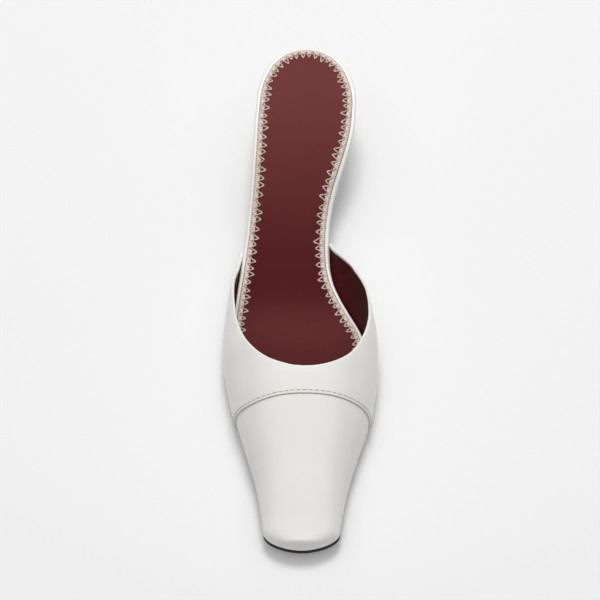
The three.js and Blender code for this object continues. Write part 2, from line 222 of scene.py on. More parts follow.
def quarter_round(inset, depth, radius, count, under=False):
    """Profile of a rounded edge: a quarter circle from the face to the side, or back under."""
    turn = np.linspace(0, math.pi / 2, count)
    near = radius * (1 - np.sin(turn))
    far = radius * (1 - np.cos(turn))
    return list(zip(inset + far, depth - near)) if under else list(zip(inset + near, depth + far))


# The frame's board, in metres, says where the plan's middle and the heel back lie in its axes
board_low, board_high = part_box("insole_board")
board_x = outline(eased(0, board_end, plan_samples))[0]
shift_x = (board_low[0] + board_high[0]) / 2 * 1000 - (board_x.min() + board_x.max()) / 2
heel_back = board_high[1] * 1000


def make_piece(name, grids, material, marks=None, sharp_angle=50):
    """Mesh piece from grids of points: quads between neighbouring rows and columns, equal points
    merged, faces turned outwards. Marks are one number a point, kept as the attribute "mark"."""
    x, s, z = np.concatenate([grid.reshape(-1, 3) for grid in grids]).T
    places = np.stack([x + shift_x, heel_back - s, z], axis=-1) / 1000
    faces = []
    first = 0
    for grid in grids:
        rows, columns = grid.shape[:2]
        index = first + np.arange(rows * columns).reshape(rows, columns)
        quads = [index[:-1, :-1], index[1:, :-1], index[1:, 1:], index[:-1, 1:]]
        faces.append(np.stack(quads, axis=-1).reshape(-1, 4))
        first += rows * columns
    mesh = bpy.data.meshes.new(name)
    mesh.from_pydata(places.tolist(), [], np.concatenate(faces).tolist())
    if marks is not None:
        attribute = mesh.attributes.new("mark", "FLOAT", "POINT")
        attribute.data.foreach_set("value", np.concatenate([m.ravel() for m in marks]))
    welded = bmesh.new()
    welded.from_mesh(mesh)
    bmesh.ops.remove_doubles(welded, verts=welded.verts, dist=merge_distance)
    bmesh.ops.recalc_face_normals(welded, faces=welded.faces)
    welded.to_mesh(mesh)
    welded.free()
    mesh.polygons.foreach_set("use_smooth", [True] * len(mesh.polygons))
    mesh.set_sharp_from_angle(angle=math.radians(sharp_angle))
    piece = bpy.data.objects.new(name, mesh)
    bpy.context.scene.collection.objects.link(piece)
    mesh.materials.append(material)
    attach(piece, "root")
    return piece


def linear(hex_colour):
    """Linear red, green, blue and alpha of an sRGB hex colour."""
    parts = [int(hex_colour[i : i + 2], 16) / 255 for i in (1, 3, 5)]
    return [p / 12.92 if p <= 0.04045 else ((p + 0.055) / 1.055) ** 2.4 for p in parts] + [1]


def add_node(material, kind, sockets=None, **properties):
    """Adds a node. A socket takes a value or another node's output, linked to it. Sockets that
    share a name go by number: 0 is the share of a colour mix, 6 and 7 are its two colours."""
    made = material.node_tree.nodes.new(kind)
    for name, value in properties.items():
        setattr(made, name, value)
    for name, value in (sockets or {}).items():
        if isinstance(value, bpy.types.NodeSocket):
            material.node_tree.links.new(value, made.inputs[name])
        else:
            made.inputs[name].default_value = value
    return made


def new_material(name):
    """Empty material with its output node."""
    material = bpy.data.materials.new(name)
    material.use_nodes = True
    material.node_tree.nodes.clear()
    return material, material.node_tree.nodes.new("ShaderNodeOutputMaterial")


clouds_a_metre = 45.0
folds_a_metre = (70, 420, 70)


def leather(name, colour, shade, roughness, grain, relief, specular=0.5, marked=None, creases=None):
    """Leather with a pebbled grain: cells of the grain's size raise the surface by the relief,
    and slow clouds of tone run between the colour and its shade. Where the piece's mark is 1 it
    shows its marked colour: on the vamp's front edge partly raw fibre and partly painted shade of
    the seam's step, on the sock painted shade. Creases are fine folds across the shoe, given by
    their middle place in the frame, the reach along the shoe at which they have faded out, and
    their depth."""
    material, out = new_material(name)
    where = add_node(material, "ShaderNodeTexCoord").outputs["Object"]
    slow = {"Vector": where, "Scale": clouds_a_metre, "Detail": 3.0}
    clouds = add_node(material, "ShaderNodeTexNoise", slow)
    shades = {0: clouds.outputs["Fac"], 6: linear(colour), 7: linear(shade)}
    tone = add_node(material, "ShaderNodeMix", shades, data_type="RGBA").outputs[2]
    fine = {"Vector": where, "Scale": 1000 / grain}
    cells = add_node(material, "ShaderNodeTexVoronoi", fine, feature="SMOOTH_F1")
    bump = add_node(
        material, "ShaderNodeBump",
        {"Height": cells.outputs["Distance"], "Distance": relief / 1000, "Strength": 1.0},
        invert=True,
    )
    if marked:
        mark = add_node(material, "ShaderNodeAttribute", attribute_name="mark").outputs["Fac"]
        shades = {0: mark, 6: tone, 7: linear(marked)}
        tone = add_node(material, "ShaderNodeMix", shades, data_type="RGBA").outputs[2]
    if creases:
        crease_middle, faded, depth = creases
        squeezed = {"Vector": where, "Scale": folds_a_metre}
        drawn_out = add_node(material, "ShaderNodeMapping", squeezed).outputs["Vector"]
        folded = {"Vector": drawn_out, "Scale": 1.0, "Detail": 2.0}
        folds = add_node(material, "ShaderNodeTexNoise", folded)
        along = add_node(material, "ShaderNodeSeparateXYZ", {"Vector": where}).outputs["Y"]
        both = {0: along, 1: crease_middle / 1000}
        offset = add_node(material, "ShaderNodeMath", both, operation="SUBTRACT").outputs["Value"]
        away = add_node(material, "ShaderNodeMath", {0: offset}, operation="ABSOLUTE")
        band = add_node(
            material, "ShaderNodeMapRange",
            {"Value": away.outputs["Value"], "From Max": faded / 1000, "To Min": 1.0, "To Max": 0.0},
            interpolation_type="SMOOTHSTEP",
        )
        both = {0: folds.outputs["Fac"], 1: band.outputs["Result"]}
        fading = add_node(material, "ShaderNodeMath", both, operation="MULTIPLY").outputs["Value"]
        bump = add_node(
            material, "ShaderNodeBump",
            {"Height": fading, "Distance": depth / 1000, "Strength": 1.0,
             "Normal": bump.outputs["Normal"]},
        )
    skin = add_node(
        material, "ShaderNodeBsdfPrincipled",
        {"Base Color": tone, "Roughness": roughness, "Normal": bump.outputs["Normal"],
         "Specular IOR Level": specular, "IOR": 1.5},
    )
    material.node_tree.links.new(skin.outputs["BSDF"], out.inputs["Surface"])
    return material


# Off-white calf leather, pigment finished: an even, opaque colour with a soft satin sheen
wrap_leather = leather(
    "offwhite_calf_leather_wrap", "#F1EFEB", "#EEECE8", roughness=0.42, grain=0.7, relief=0.01
)

board_roll = 1
board_roll_points = 7
board_face_insets = (12, 4)
layer_steps = 170
rim_profile = [(inset, board_top) for inset in board_face_insets]
rim_profile += quarter_round(0, board_top, board_roll, board_roll_points)
rim_profile += quarter_round(0, board_under, board_roll, board_roll_points, under=True)
rim_profile += [(inset, board_under) for inset in board_face_insets[::-1]]
board_grid = layer(outline(eased(0, board_end, layer_steps)), rim_profile)
insole_board = make_piece("insole_board_wrapped", [board_grid], wrap_leather)
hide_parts("insole_board")


# Upper: a vamp and a toe cap of smooth off-white calf leather, about 1.1 mm thick, pulled over
# the last. The vamp's front edge lies on the cap, skived and stitched down, and its topline is
# folded over. The surface is the last's own, worked out from feather line to ridge.

instep_height = 52
vamp_step = 0.8
step_fade = 34
seam_place = 193.3
seam_bow = {-1: 1.8, 1: 0.7}
leather_thick = 1.1
edge_radius = 0.3
cap_tuck = 3
raw_edge_and_shade_rows = 3

# Radius and squareness with which the tip of the toe box turns down, on its lining and outside
lining_nose = (2.2, 2.4)
face_nose = (2.6, 2.0)

# Folded topline: width of the fold, run over which it ends, how deep in the wall it reaches as a
# share, how much deeper at the end of a wing, and the run over which that fades
fold_width = 0.5
fold_turn = 0.3
fold_share = 0.25
fold_thicker = 0.4
fold_thicker_run = 40

# Columns: share of the length, sideways place of the ridge as a share of half the ball width,
# height of the ridge as a share of the instep height
ridge_line = [
    (0.369, -0.104, 0.769), (0.431, -0.052, 0.885), (0.492, 0, 0.962), (0.554, 0.039, 1),
    (0.615, 0.065, 1), (0.662, 0.075, 0.967), (0.7, 0.078, 0.91), (0.769, 0.078, 0.767),
    (0.846, 0.078, 0.602), (0.923, 0.074, 0.447), (0.969, 0.071, 0.352), (1.01, 0.068, 0.287),
]

# Columns: share of the length, bulge of the outer and of the inner side past the feather line as
# shares of half the ball width, squareness of the outer and of the inner side
cross_form = [
    (0.369, 0.052, 0.05, 1.9, 2.3), (0.386, 0.068, 0.27, 1.9, 2.3), (0.402, 0.086, 0.5, 1.9, 2.3),
    (0.417, 0.112, 0.655, 1.9, 2.3), (0.438, 0.175, 0.761, 1.9, 2.3), (0.466, 0.23, 0.755, 1.9, 2.3),
    (0.492, 0.26, 0.69, 1.9, 2.3), (0.515, 0.273, 0.583, 1.9, 2.3), (0.547, 0.268, 0.435, 1.9, 2.3),
    (0.585, 0.259, 0.322, 1.92, 2.3), (0.627, 0.227, 0.225, 1.98, 2.3), (0.673, 0.156, 0.142, 2.1, 2.3),
    (0.731, 0.126, 0.094, 2.32, 2.4), (0.808, 0.108, 0.063, 2.55, 2.55), (0.885, 0.066, 0.032, 2.6, 2.6),
    (0.95, 0.054, 0.031, 2.45, 2.45), (1.01, 0.042, 0.03, 2.3, 2.3),
]

# Columns: share of the way up the section, share of the length where the topline of the outer
# and of the inner side passes it
topline_place = [
    (0, 0.377, 0.36), (0.07, 0.4, 0.374), (0.13, 0.424, 0.3925), (0.19, 0.443, 0.4138),
    (0.235, 0.457, 0.435), (0.265, 0.466, 0.4523), (0.295, 0.477, 0.4714), (0.33, 0.4935, 0.4956),
    (0.36, 0.509, 0.5197), (0.385, 0.525, 0.541), (0.44, 0.564, 0.58), (0.51, 0.605, 0.62),
    (0.58, 0.636, 0.649), (0.66, 0.661, 0.669), (0.76, 0.68, 0.684), (0.87, 0.692, 0.694),
    (0.94, 0.697, 0.6975), (1, 0.6985, 0.6985),
]

ridge_across = curve(ridge_line, 1)
ridge_height = curve(ridge_line, 2)
bulge = {-1: curve(cross_form, 1), 1: curve(cross_form, 2)}
squareness = {-1: curve(cross_form, 3), 1: curve(cross_form, 4)}
topline = {-1: curve(topline_place, 1), 1: curve(topline_place, 2)}
throat = topline_place[-1][1] * shoe_length


def upper_point(s, side, t, grow, thick, nose):
    """Point over the last: t runs from 0 at the feather line to 1 at the ridge. A side is a
    superellipse quarter between the feather point, a corner pushed out by the bulge, and the
    ridge; cosine and sine of t, to a power from the squareness, carry it across and upward."""
    share = s / shoe_length
    middle = (inner_share(share) - outer_share(share)) * ball_half / 2
    rounded = round_off(s, 0, grow)
    nose_round, nose_squareness = nose
    at_nose = np.clip((s - (board_end + grow - nose_round)) / nose_round, 0, 1)
    nose_share = (1 - at_nose**nose_squareness) ** (1 / nose_squareness)
    foot_x = plan_edge(s, side, grow, 0, grow)
    foot_z = below(s, board_under)
    ridge_x = middle + (ridge_across(share) * ball_half - middle) * rounded
    ridge_z = foot_z + (ridge_height(share) * instep_height - thick - foot_z) * nose_share
    corner_x = foot_x + side * bulge[side](share) * ball_half * rounded
    power = 2 / squareness[side](share)
    across = np.clip(np.cos(t * math.pi / 2), 0, 1) ** power
    upward = np.sin(t * math.pi / 2) ** power
    x = foot_x + ridge_x - corner_x + (corner_x - ridge_x) * across + (corner_x - foot_x) * upward
    return np.stack([x, s, foot_z + (ridge_z - foot_z) * upward], axis=-1)


def proud(s):
    """How far the vamp stands proud of the cap: the full step at the seam, fading out behind."""
    return vamp_step * smooth(1 - (seam_place - np.minimum(s, seam_place)) / step_fade)


def seam(side, t):
    """Place of the vamp's front edge, bowed towards the toe by a squared sine on each side."""
    return seam_place + seam_bow[side] * np.sin(math.pi * t) ** 2


def wall_point(rows, side, share):
    """Point in the upper's wall: share 0 is its inner face, 1 its outer face, in a straight line
    between them. Rows give s of the outer and inner face, t, and how far the outer is raised."""
    s_outer, s_inner, t, raised = rows
    outer = upper_point(s_outer, side, t, feather_out + raised, -raised, face_nose)
    inner = upper_point(s_inner, side, t, clearance, upper_wall, lining_nose)
    return inner + (outer - inner) * share


# Fineness of the upper's grids, up a side and along its stretches and turns, and the share of a
# wing over which the topline's roll sets in
up_side = np.linspace(0, 1, 65)
wing_count = 150
vamp_count = 40
edge_turns = 5
cap_count = 120
roll_turns = 8
topline_samples = 4001
wing_end = 0.02
grids_a_side = 5
front_edge_grid = 3


def wing_rows(side):
    """Rows from the end of a wing to the throat: t runs up to the topline at each place."""
    u = np.sin(np.linspace(0, math.pi / 2, wing_count + 1))[:, None]
    start = topline[side](0.0) * shoe_length
    s = start + (throat - start) * u + 0 * up_side
    heights = np.linspace(0, 1, topline_samples)
    top = np.interp(s[:, :1], topline[side](heights) * shoe_length, heights)
    top[-1] = 1
    return s, s, top * up_side, proud(s)


def vamp_rows(side, radius):
    """Rows from the throat to the vamp's front edge, which drops over a quarter round."""
    back = seam(side, up_side) - radius
    u = np.linspace(0, 1, vamp_count + 1)[1:, None]
    body = throat + (back - throat) * u
    turn = np.linspace(0, math.pi / 2, edge_turns + 1)[1:, None]
    front = back + radius * np.sin(turn)
    s = np.concatenate([body, front])
    drop = np.concatenate([0 * body, 0 * front + radius * (1 - np.cos(turn))])
    return s, s, 0 * s + up_side, proud(s) - drop


def cap_rows(side, tucked):
    """Rows from the seam, or tucked in behind it, to the tip of the toe box."""
    u = np.sin(np.linspace(0, math.pi / 2, cap_count + 1))[:, None]
    start = seam(side, up_side) - tucked
    outer = start + (board_end + feather_out - start) * u
    inner = start + (board_end + clearance - start) * u
    return outer, inner, 0 * outer + up_side, 0 * outer


def joined(*parts):
    """Rows of several stretches as one."""
    return [np.concatenate([part[i] for part in parts]) for i in range(4)]


def topline_roll(outer, inner, beneath, end_tangent):
    """Half round that closes the wall along the topline: from the outer to the inner face about
    their middle, out along the direction square to the wall and to the topline. It grows from
    nothing at the end of a wing."""
    middle = (outer + inner) / 2
    half = (outer - inner) / 2
    tangent = np.gradient(middle, axis=0)
    tangent[-1] = end_tangent
    out = np.cross(half, tangent)
    out /= np.linalg.norm(out, axis=1, keepdims=True)
    out *= np.sign(np.sum(out * (middle - beneath), axis=1, keepdims=True))
    grown = smooth(np.linspace(0, 1, len(middle)) / wing_end)[:, None]
    out *= np.linalg.norm(half, axis=1, keepdims=True) * grown
    turn = np.linspace(0, math.pi, roll_turns + 1)
    return np.stack([middle + half * math.cos(a) + out * math.sin(a) for a in turn], axis=1)


def near_topline(rows, side):
    """How far a place belongs to the folded topline: 1 within its width, 0 beyond its turn, from
    the distance to the nearest point of the topline."""
    face = wall_point(rows, side, 1)
    topline_points = face[: wing_count + 1, -1]
    gaps = np.linalg.norm(face[:, :, None] - topline_points[None, None], axis=-1).min(axis=-1)
    return smooth((fold_width - gaps) / fold_turn + 0.5)[..., None]


def shell(rows_of, shares, topline_shares=None):
    """Closed shell of one layer of the upper, between two shares of the wall. It is made of five
    grids a side: the two faces, a strip along the feather line, one along the front edge, and a
    fifth behind, which is the topline's roll where there are wings. The shares run over to others
    where the topline is folded."""
    faces = {}
    wings = topline_shares is not None
    for side in (-1, 1):
        rows = rows_of(side)
        fold = near_topline(rows, side) if wings else 0
        along_wing = (rows[0] - rows[0][0, 0]) / fold_thicker_run
        thicker = fold_thicker * smooth(1 - along_wing)[..., None]
        there = (topline_shares[0], topline_shares[1] - thicker) if wings else shares
        faces[side] = [wall_point(rows, side, a + (b - a) * fold) for a, b in zip(shares, there)]
    grids = []
    for side in (-1, 1):
        outer, inner = faces[side]
        grids += [outer, inner, np.stack([outer[:, 0], inner[:, 0]], axis=1)]
        grids.append(np.stack([outer[-1], inner[-1]], axis=1))
        if not wings:
            grids.append(np.stack([outer[0], inner[0]], axis=1))
            continue
        n = wing_count + 1
        beneath = (outer[:n, -2] + inner[:n, -2]) / 2
        beneath[0] = outer[1, 0]
        across = sum(faces[1][k][n - 2, -1] - faces[-1][k][n - 2, -1] for k in (0, 1)) * -side
        grids.append(topline_roll(outer[:n, -1], inner[:n, -1], beneath, across))
    return grids


# Off-white calf leather, glazed: smooth, close grained, with a soft shine on its turns. Its marked
# front edge is painted a darker beige grey: partly the raw fibre under the finish, partly painted
# shade of the seam's step.
calf_leather = leather(
    "offwhite_glazed_calf_leather", "#F4F2EF", "#F0EEEB",
    roughness=0.3, grain=0.6, relief=0.005, marked="#C6BEB4",
)

leather_shares = (1, 1 - leather_thick / upper_wall)


def vamp_all_rows(side):
    """Rows of the whole vamp, wings and forepart."""
    return joined(wing_rows(side), vamp_rows(side, edge_radius))


def cap_all_rows(side):
    """Rows of the toe cap, which runs on for a seam allowance under the vamp."""
    return cap_rows(side, cap_tuck)


vamp_shell = shell(vamp_all_rows, leather_shares, (1, fold_share))
# Marks on the vamp: its cut front edge and the turn of its outer face there, painted a darker beige
# grey, partly as raw fibre and partly as painted shade of the seam's step
vamp_marks = [np.zeros(grid.shape[:2]) for grid in vamp_shell]
for face_marks in vamp_marks[::grids_a_side]:
    face_marks[-raw_edge_and_shade_rows:] = 1
for front_edge_marks in vamp_marks[front_edge_grid::grids_a_side]:
    front_edge_marks[:] = 1
vamp = make_piece("vamp", vamp_shell, calf_leather, vamp_marks)
toe_cap = make_piece("toe_cap", shell(cap_all_rows, leather_shares), calf_leather)
for piece in (vamp, toe_cap):
    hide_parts("upper")


# Lining: burgundy goat leather, 0.65 mm thick, pasted inside the vamp and the cap, with its upper
# edge caught in the fold of the topline.

lining_shares = (0.36, 0)
caught_shares = (0.75, 0.45)
lining_radius = 0.4

# Burgundy goat leather, dyed through and left unglazed: darker and duller than the sock
lining_leather = leather(
    "burgundy_lining_leather", "#521214", "#480F11",
    roughness=0.5, grain=0.6, relief=0.006, specular=0.1,
)


def lining_rows(side):
    """Rows of the whole lining, from the wings to the toe, in one piece."""
    onward = [row[1:] for row in cap_rows(side, 0)]
    return joined(wing_rows(side), vamp_rows(side, lining_radius), onward)


lining_shell = shell(lining_rows, lining_shares, caught_shares)
lining = make_piece("upper_lining", lining_shell, lining_leather)
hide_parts("upper")


# Cap seam stitches: one row of off-white thread that holds the vamp down on the cap, a little
# behind its front edge. Each stitch sinks into the leather at its ends.

stitch_back = 1.3
stitch_pitch = 2.9
stitch_gap = 0.7
stitch_radius = 0.24
stitch_lift = 0.12
stitch_sink = 0.25
stitch_end_radius = 0.01
stitch_steps = 12
stitch_sides = 8
seam_samples = 400


def even_path(path, spacing):
    """The path with its points evenly spaced along its run, as near the spacing as fits."""
    run = np.concatenate([[0], np.cumsum(np.linalg.norm(np.diff(path, axis=0), axis=1))])
    count = int(round(run[-1] / spacing))
    at = np.linspace(0, run[-1], count + 1)
    return np.stack([np.interp(at, run, path[:, k]) for k in range(path.shape[1])], axis=-1), at


def tube(path, up, radius, sides, closed=False, flat=1.0):
    """Tube round a path: circles square to the path, of a radius for each point, and flattened
    along up, which is the direction out of the surface that the path lies on."""
    if closed:
        tangent = np.roll(path, -1, axis=0) - np.roll(path, 1, axis=0)
    else:
        tangent = np.gradient(path, axis=0)
    tangent /= np.linalg.norm(tangent, axis=1, keepdims=True)
    across = np.cross(tangent, up)
    across /= np.linalg.norm(across, axis=1, keepdims=True)
    upright = np.cross(across, tangent)
    turn = np.linspace(0, 2 * math.pi, sides + 1)
    turn[-1] = 0
    ring = np.cos(turn)[:, None] * across[:, None] + flat * np.sin(turn)[:, None] * upright[:, None]
    grid = path[:, None] + np.asarray(radius)[:, None, None] * ring
    return np.concatenate([grid, grid[:1]]) if closed else grid


def seam_line(side, back):
    """Line on the vamp's outer face, a distance behind its front edge, and the way out of it."""
    t = np.linspace(0, 1, seam_samples)
    s = seam(side, t) - back
    rows = (s, s, t, proud(s))
    face = wall_point(rows, side, 1)
    out = face - wall_point(rows, side, 0)
    return np.concatenate([face, out], axis=1)


seam_path = np.concatenate([seam_line(-1, stitch_back), seam_line(1, stitch_back)[-2::-1]])
seam_path, seam_run = even_path(seam_path, stitch_pitch / stitch_steps)
seam_out = seam_path[:, 3:] / np.linalg.norm(seam_path[:, 3:], axis=1, keepdims=True)
stitch_count = round(seam_run[-1] / stitch_pitch)
along_stitch = (seam_run / seam_run[-1] * stitch_count) % 1
span = 1 - stitch_gap / stitch_pitch
from_end = np.clip(1 - np.abs(along_stitch - 0.5) * 2 / span, 0, 1)
stitch_size = stitch_radius * np.sqrt(np.sin(from_end * math.pi / 2)) + stitch_end_radius
above_leather = np.where(from_end > 0, stitch_lift, -stitch_sink)
thread_path = seam_path[:, :3] + above_leather[:, None] * seam_out

specks_a_metre = 900.0


def thread(name, colour, shade):
    """Spun polyester sewing thread: matt, with a soft sheen from its fibres. It is darker by painted
    shade where the mark says that it lies in a furrow or runs into a hole, and in specks where its
    plies cross."""
    material, out = new_material(name)
    where = add_node(material, "ShaderNodeTexCoord").outputs["Object"]
    crossing = {"Vector": where, "Scale": specks_a_metre, "Detail": 2.0}
    plies = add_node(material, "ShaderNodeTexNoise", crossing)
    speck = add_node(
        material, "ShaderNodeMapRange",
        {"Value": plies.outputs["Fac"], "From Min": 0.5, "From Max": 0.68,
         "To Min": 0.0, "To Max": 0.9},
    )
    mark = add_node(material, "ShaderNodeAttribute", attribute_name="mark").outputs["Fac"]
    both = {0: mark, 1: speck.outputs["Result"]}
    share = add_node(material, "ShaderNodeMath", both, operation="ADD")
    shades = {0: share.outputs["Value"], 6: linear(colour), 7: linear(shade)}
    tone = add_node(material, "ShaderNodeMix", shades, data_type="RGBA").outputs[2]
    skin = add_node(
        material, "ShaderNodeBsdfPrincipled",
        {"Base Color": tone, "Roughness": 0.75, "Specular IOR Level": 0.3, "Sheen Weight": 0.2},
    )
    material.node_tree.links.new(skin.outputs["BSDF"], out.inputs["Surface"])
    return material


# Off-white polyester thread, drawn down into smooth leather: dull, with painted shade at each hole
cap_thread = thread("offwhite_polyester_thread", "#DAD5CE", "#A39A8F")
stitch_grid = tube(thread_path, seam_out, stitch_size, stitch_sides)
stitch_grid[0] = thread_path[0]
stitch_grid[-1] = thread_path[-1]
# Painted shade: the mark darkens each stitch towards its ends, where it sinks into its hole
stitch_marks = np.repeat((1 - from_end)[:, None] ** 2, stitch_sides + 1, axis=1)
cap_stitches = make_piece("cap_seam_stitches", [stitch_grid], cap_thread, [stitch_marks])
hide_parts("upper")


# Outsole: thin sheet of near-black rubber, cemented on under the upper and the board from the
# heel breast to the toe. Its edge is trimmed square, with a small bevel, and stands a little
# way out past the upper in the forepart.

waist_thick = 2.3
sole_margin_side = -0.4
sole_margin_corner = 0.6
corner_reach = 13
corner_run = 9
waist_inset = 1.6
sole_bevel = 0.5
upper_bevel = 0.25
heel_breast = 46
outsole_top = board_under + clearance
waist_end = 0.36 * shoe_length
forepart_start = 0.54 * shoe_length
sole_middle = (heel_breast + clearance + 2, board_end - 10)
sole_rows = 200


def forepart(s):
    """How much of the forepart's sole there is at a place: none in the waist, all at the ball."""
    return smooth((s - waist_end) / (forepart_start - waist_end))


def outsole_grid():
    """The outsole's section, carried from the breast to the toe: its upper face, a square side
    and a bevelled underside, whose corners are drawn in along the plan's normals."""
    start = heel_breast + clearance
    grow_toe = feather_out + sole_margin_toe
    u = np.sin(np.linspace(0, math.pi / 2, sole_rows + 1))
    places = start + (board_end + grow_toe - start) * u
    at_corner = smooth((places - (board_end - corner_reach)) / corner_run)
    grow_side = feather_out + sole_margin_side + sole_margin_corner * at_corner
    grow = -waist_inset + (grow_side + waist_inset) * forepart(places)
    x, s, nx, ns = outline(places, square_start=True, grow=grow, grow_toe=grow_toe)
    top = outsole_top + 0 * s
    under = top + waist_thick + (outsole_thick - waist_thick) * forepart(s)
    centre = middle_line(s, *sole_middle)
    return ring_grid([
        (*centre, top),
        (x + nx * upper_bevel, s + ns * upper_bevel, top),
        (x, s, top + upper_bevel),
        (x, s, under - sole_bevel),
        (x + nx * sole_bevel, s + ns * sole_bevel, under),
        (*centre, under),
    ])


grains_a_metre = 1250.0
grain_depth = 0.03


def rubber(name, colour, roughness):
    """Rubber: one colour right through, matt, with a fine grain from its mould or its buffing."""
    material, out = new_material(name)
    where = add_node(material, "ShaderNodeTexCoord").outputs["Object"]
    fine = {"Vector": where, "Scale": grains_a_metre, "Detail": 2.0}
    grain = add_node(material, "ShaderNodeTexNoise", fine).outputs["Fac"]
    raised_by = {"Height": grain, "Distance": grain_depth / 1000, "Strength": 1.0}
    bump = add_node(material, "ShaderNodeBump", raised_by)
    skin = add_node(
        material, "ShaderNodeBsdfPrincipled",
        {"Base Color": linear(colour), "Roughness": roughness, "Specular IOR Level": 0.2,
         "Normal": bump.outputs["Normal"]},
    )
    material.node_tree.links.new(skin.outputs["BSDF"], out.inputs["Surface"])
    return material


# Sheet rubber, filled with carbon black and buffed at its edge: near-black, with little shine
sole_rubber = rubber("black_sole_rubber", "#030303", roughness=0.5)
outsole = make_piece("outsole_sheet", [outsole_grid()], sole_rubber, sharp_angle=35)
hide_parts("outsole")


# Heel: a moulded block covered in the same leather as the upper, pulled tight and turned in under
# the seat and at the top lift. It is drawn in all round, and more hollow at the breast.

heel_inset = 1
heel_foot_length = 26
heel_foot_width = 25
heel_foot_back = 8
lift_thick = 5
heel_front_squareness = 5
hollow_back = 1.2
hollow_front = 2.4
hollow_widest = 1.6
hollow_sides = 1.9
seat_widest = 0.11
seat_outer = heel_inset - outer_share(seat_widest) * ball_half
seat_inner = inner_share(seat_widest) * ball_half - heel_inset
seat_middle = (seat_outer + seat_inner) / 2
heel_top = below(0.0, board_under + clearance)
breast_top = below(float(heel_breast), board_under + clearance)

# Fineness: sides of the heel, its rows as shares of its height, the rows of its top as shares of
# the way in to the middle, and the halvings with which its seat is found
heel_sides = 144
turned_in_rows = [0, 0.004, 0.012]
cover_rows = np.linspace(0.03, 1, 60)
seat_rows = (0.25, 0.5, 0.75, 1)
halvings = 40


def heel_ring(angle, z):
    """Outline of the heel at a height: superellipse quarters, round at the back and squarer at
    the front. Each of its four reaches runs from the foot to the seat by its own power."""
    up = np.clip((z - lift_thick) / (heel_top - lift_thick), 0, 1)
    up_breast = np.clip((z - lift_thick) / (breast_top - lift_thick), 0, 1)
    foot_middle = heel_foot_back + heel_foot_length / 2
    foot_front = heel_foot_back + heel_foot_length
    half_foot = heel_foot_width / 2
    back = heel_foot_back + (heel_inset - heel_foot_back) * up**hollow_back
    front = foot_front + (heel_breast - foot_front) * up_breast**hollow_front
    widest = foot_middle + (heel_round - foot_middle) * up**hollow_widest
    outer = seat_middle - half_foot + (seat_outer - seat_middle + half_foot) * up**hollow_sides
    inner = seat_middle + half_foot + (seat_inner - seat_middle - half_foot) * up**hollow_sides
    middle = (outer + inner) / 2
    c, n = np.cos(angle), np.sin(angle)
    power = 2 / np.where(n > 0, heel_front_squareness, heel_squareness)
    x = middle + np.where(c > 0, inner - middle, outer - middle) * np.abs(c) ** power
    s = widest + np.where(n > 0, front - widest, back - widest) * np.abs(n) ** power
    return np.stack([x, s, z + 0 * x], axis=-1)


def seat_height_at(angle):
    """Height where the heel meets the board's underside, found by halving for every angle."""
    low = lift_thick + 0 * angle
    high = seat_height + 0 * angle
    for _ in range(halvings):
        mid = (low + high) / 2
        under = mid < below(np.maximum(heel_ring(angle, mid)[..., 1], 0), board_under)
        low = np.where(under, mid, low)
        high = np.where(under, high, mid)
    return low


def closed_by_middle(rings, top_follows_seat):
    """Rings with a row of points at the middle of the first and of the last ring. A top that
    follows the seat has rows on the way in, laid on the board's underside."""
    first = rings[:1].mean(axis=1, keepdims=True) + 0 * rings[:1]
    last = rings[-1:].mean(axis=1, keepdims=True) + 0 * rings[-1:]
    if not top_follows_seat:
        return np.concatenate([first, rings, last])
    inward = [rings[-1:] + (last - rings[-1:]) * k for k in seat_rows]
    for ring in inward:
        ring[..., 2] = below(np.maximum(ring[..., 1], 0), board_under)
    return np.concatenate([first, rings, *inward])


heel_angles = np.linspace(0, 2 * math.pi, heel_sides + 1)
heel_angles[-1] = 0
cover_foot = lift_thick + clearance / 2
cover_heights = np.concatenate([turned_in_rows, cover_rows])[:, None]
levels = cover_foot + (seat_height_at(heel_angles) - cover_foot) * cover_heights
cover_grid = closed_by_middle(np.stack([heel_ring(heel_angles, z) for z in levels]), True)

# The upper's glazed calf leather, wet and stretched over the block: the same colour and shine,
# with its grain drawn smooth
heel_leather = leather(
    "offwhite_calf_leather_heel_cover", "#F4F2EF", "#F0EEEB", roughness=0.3, grain=0.6, relief=0.005
)
heel_cover = make_piece("heel_cover", [cover_grid], heel_leather)
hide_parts("heel")


# Top lift: hard-wearing black rubber pad, pinned and cemented under the heel and trimmed flush
# with its cover, with a small bevel round the tread.

tread_bevel = 0.5
seam_bevel = 0.15
lift_profile = [
    (0, tread_bevel), (tread_bevel, 0), (lift_thick - seam_bevel, 0), (lift_thick, seam_bevel),
]


def lift_grid():
    """The heel's foot outline, repeated at each height and drawn in for the bevels."""
    ring = heel_ring(heel_angles, float(lift_thick))
    middle = ring[:-1, :2].mean(axis=0)
    out = ring[:, :2] - middle
    away = np.linalg.norm(out, axis=1, keepdims=True)
    rows = []
    for z, inset in lift_profile:
        plan = middle + out * (1 - inset / away)
        rows.append(np.concatenate([plan, np.full((len(ring), 1), float(z))], axis=1))
    return closed_by_middle(np.stack(rows), False)


# Hard moulded rubber, ground flush with the cover: greyer than the sole, and duller from grinding
lift_rubber = rubber("black_top_lift_rubber", "#1A1919", roughness=0.6)
top_lift = make_piece("heel_top_lift", [lift_grid()], lift_rubber, sharp_angle=35)
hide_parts("top_lift")


# Sock: burgundy leather over a thin foam, pasted on the board from the heel to the toe box. Its
# edge is bound before it goes in, so it lies flat and full up to the binding.

board_rim = 2
sock_roll = 0.5
sock_roll_points = 6
sock_face_insets = (10, 4)
sock_under_inset = 4
ball_place = 139
crease_reach = 17
crease_depth = 0.45

# Columns: share of the length, how much painted shade darkens the sock there
painted_shade_line = [
    (0, 0), (0.08, 0), (0.18, 0.2), (0.26, 0.22), (0.354, 0.72), (0.454, 1), (0.54, 0.5),
    (0.6, 0.68), (0.7, 0.8), (1, 0.8),
]
